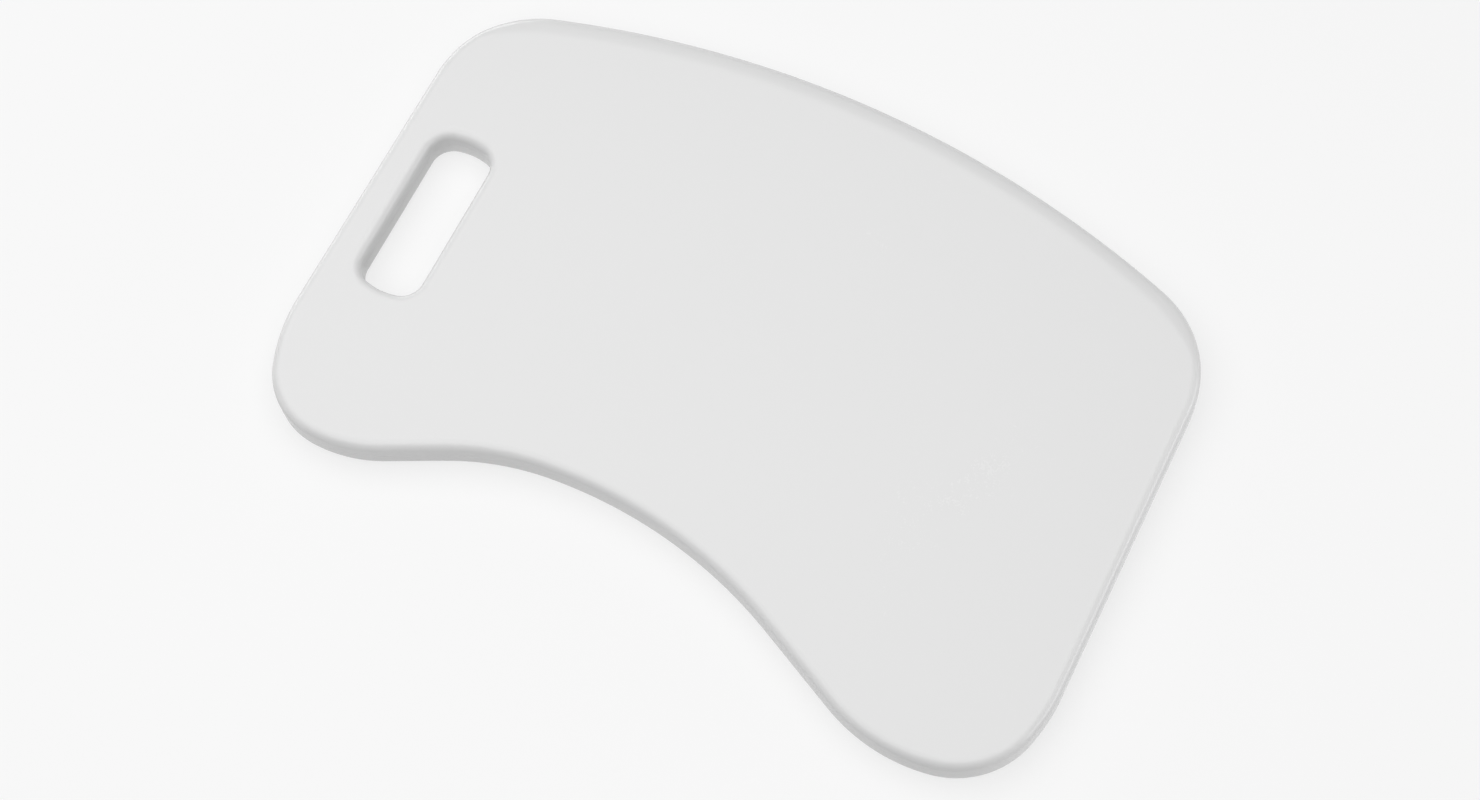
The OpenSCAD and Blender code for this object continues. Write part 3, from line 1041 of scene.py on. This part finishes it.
@dataclass
class GripPads:
    """The six rubber pads, ribbed across where they touch the table or the lap.

    Attributes:
        plan: Shared sizes.
        names: Node that each pad stands for, in the order of the plan's arcs.
        rib_pitch: Distance between ribs, in millimetres.
        rib_h: Depth of the valleys between ribs, in millimetres.
        rib_ends: Distances from the edge at which the ribs begin and are whole, in millimetres.
        rib_step: Distance between points along the ribs' waves, in millimetres.
        soften: Radius of a pad's lower edge, in millimetres.
        rows: Number of rows from a pad's spine to its rounded edge.
        pieces: The pads, once they are built.
    """

    plan: Plan
    names: tuple[str, ...] = (
        "grip_pad_far_middle",
        "grip_pad_far_left",
        "grip_pad_far_right",
        "grip_pad_near_left",
        "grip_pad_near_middle",
        "grip_pad_near_right",
    )
    rib_pitch: float = 2.5
    rib_h: float = 0.35
    rib_ends: tuple[float, float] = (0.6, 2.2)
    rib_step: float = 0.3
    soften: float = 0.8
    rows: int = 12
    pieces: list[bpy.types.Object] = field(default_factory=list)

    def shape(self, name: str, place: tuple[np.ndarray, float]) -> bpy.types.Object:
        """One pad: its lower face rises as h(1 + cos(2 pi s / pitch)) / 2 along its length s.

        Rows run from the spine of the bar to its edge, round the edge and up its side.

        Args:
            name: Node that the pad stands for.
            place: Middle of the pad and the way it lies.

        Returns:
            The closed piece.
        """
        low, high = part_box(name)
        plan, radius = self.plan, self.plan.pad_w / 2
        path = stadium(place, plan.pad_l * MM, plan.pad_w * MM, self.rib_step * MM)
        middle, heading = place
        flat = np.linspace(0.0, radius - self.soften, self.rows)
        edge_r, edge_z = soft_edge(flat[-1], self.soften)
        reach = np.concatenate([flat, edge_r, [radius]])[:, None] * MM
        rise = np.concatenate([0 * flat, edge_z, [0.0]])[:, None] * MM
        spots = path[0][None] + path[1][None] * reach[..., None]
        along = (spots - middle) @ np.array([math.cos(heading), math.sin(heading)])
        wave = (1.0 + np.cos(2 * np.pi * along / (self.rib_pitch * MM))) / 2
        fade = smooth_step(radius - reach / MM, *self.rib_ends)
        height = low.z + rise + self.rib_h * MM * wave * fade
        height[-1] = high.z
        work = Patchwork()
        ring = work.grid(carried(path, reach, height), flip=True)
        work.fill([ring[-1]], Side.UP)
        return work.build(name.replace("grip_pad", "ribbed_pad"), sharp=60.0, weld=True)

    def build(self) -> None:
        """Makes the six pads in their pockets."""
        self.pieces = [self.shape(n, p) for n, p in zip(self.names, self.plan.pad_places())]

    def dress(self, wardrobe: Wardrobe) -> None:
        """Gives the pads their dark rubber finish.

        Args:
            wardrobe: Where the materials are kept.
        """
        for piece, node in zip(self.pieces, self.names):
            wardrobe.dress(piece, PAD)
            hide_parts(node)
            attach(piece, "root")
            LOG.info("%s: %d faces", piece.name, len(piece.data.polygons))


@dataclass(frozen=True)
class Softbox:
    """Rectangular area light that faces a point.

    Attributes:
        name: Name of the light.
        place: Its middle.
        size: Width and height.
        power: Power in watts.
    """

    name: str
    place: tuple[float, float, float]
    size: tuple[float, float]
    power: float

    def hang(self, target: Vector) -> None:
        """Adds the light.

        Args:
            target: Point that it faces.
        """
        light = bpy.data.lights.new(self.name, "AREA")
        light.shape = "RECTANGLE"
        light.size, light.size_y = self.size
        light.energy = self.power
        holder = bpy.data.objects.new(self.name, light)
        holder.location = self.place
        holder.rotation_euler = (target - holder.location).to_track_quat("-Z", "Y").to_euler()
        bpy.context.scene.collection.objects.link(holder)


@dataclass
class Studio:
    """Floor, lights, surroundings and camera.

    Attributes:
        floor_half: Half the side of the floor.
        floor_tones: Grey levels between which the floor varies.
        floor_glow: Light that the floor gives by itself.
        surroundings: Brightness of the surroundings.
        lit: Point that the lights face.
        sensor: Width of the sensor, in millimetres.
        lens: Focal length, in millimetres.
        reach: Distance at which the view ends.
        eye: Place of the camera.
        aim: Point in the middle of the view.
        up_angle: Direction on the table that is up in the view, in degrees from +X.
    """

    floor_half: float = 6.0
    floor_tones: tuple[float, float] = (0.20, 0.21)
    floor_glow: float = 0.69
    surroundings: float = 0.08
    lit: tuple[float, float, float] = (0.0, 0.0, 0.02)
    sensor: float = 36.0
    lens: float = 68.50
    reach: float = 60.0
    eye: tuple[float, float, float] = (0.3953, -0.5941, 1.6913)
    aim: tuple[float, float, float] = (0.0151, -0.0337, 0.0295)
    up_angle: float = 117.99
    boxes: tuple[Softbox, ...] = (
        Softbox("over", (-0.20, -0.15, 1.5), (2.6, 2.5), 47.0),
        Softbox("left", (-1.4, 0.70, 0.16), (1.4, 0.16), 6.0),
        Softbox("right", (1.5, 0.4, 0.24), (1.4, 0.36), 8.0),
    )

    def lay_floor(self) -> None:
        """Plain pale floor that glows a little, so that shadows stay faint."""
        half = self.floor_half
        mesh = bpy.data.meshes.new("floor")
        corners = [(-half, -half, 0.0), (half, -half, 0.0), (half, half, 0.0), (-half, half, 0.0)]
        mesh.from_pydata(corners, [], [(0, 1, 2, 3)])
        floor = bpy.data.objects.new("floor", mesh)
        bpy.context.scene.collection.objects.link(floor)
        maker = NodeMaker("floor")
        shade = maker.noise(scale=2.0, detail=1.0)
        dark, pale = ((tone, tone, tone) for tone in self.floor_tones)
        maker.wear(
            {
                "Base Color": maker.between(dark, pale, shade),
                "Roughness": 0.9,
                "Specular IOR Level": 0.0,
                "Emission Color": (1.0, 1.0, 1.0, 1.0),
                "Emission Strength": self.floor_glow,
            }
        )
        mesh.materials.append(maker.material)

    def light(self) -> None:
        """Even surroundings and soft boxes above and at both ends of the board."""
        world = bpy.data.worlds.new("surroundings")
        bpy.context.scene.world = world
        world.use_nodes = True
        background = world.node_tree.nodes["Background"]
        background.inputs["Color"].default_value = (1.0, 1.0, 1.0, 1.0)
        background.inputs["Strength"].default_value = self.surroundings
        for box in self.boxes:
            box.hang(Vector(self.lit))
        bpy.context.scene.view_settings.view_transform = "Standard"

    def place_camera(self) -> None:
        """Camera that looks from the eye to the aim, with the up direction upright."""
        eye, aim = Vector(self.eye), Vector(self.aim)
        angle = math.radians(self.up_angle)
        back = (eye - aim).normalized()
        right = Vector((math.cos(angle), math.sin(angle), 0.0)).cross(back).normalized()
        up = back.cross(right)
        data = bpy.data.cameras.new("camera")
        data.sensor_width = self.sensor
        data.lens = self.lens
        data.clip_end = self.reach
        camera = bpy.data.objects.new("camera", data)
        camera.matrix_world = Matrix.Translation(eye) @ Matrix((right, up, back)).transposed().to_4x4()
        bpy.context.scene.collection.objects.link(camera)
        bpy.context.scene.camera = camera

    def build(self) -> None:
        """Sets up the whole studio."""
        self.lay_floor()
        self.light()
        self.place_camera()
        LOG.info("studio: %d soft boxes", len(self.boxes))


def main() -> None:
    """Builds and dresses every piece, in order."""
    logging.basicConfig(level=logging.INFO, format="%(message)s")
    wardrobe = Wardrobe()
    plan = Plan()
    for group in (Skins(plan), Plugs(plan), GripPads(plan)):
        group.build()
        group.dress(wardrobe)
    for node, finish in KEPT_NODES.items():
        wardrobe.dress(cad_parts[node], finish)
        LOG.info("%s: %s", node, finish.slot)
    Studio().build()


if __name__ == "__main__":
    main()
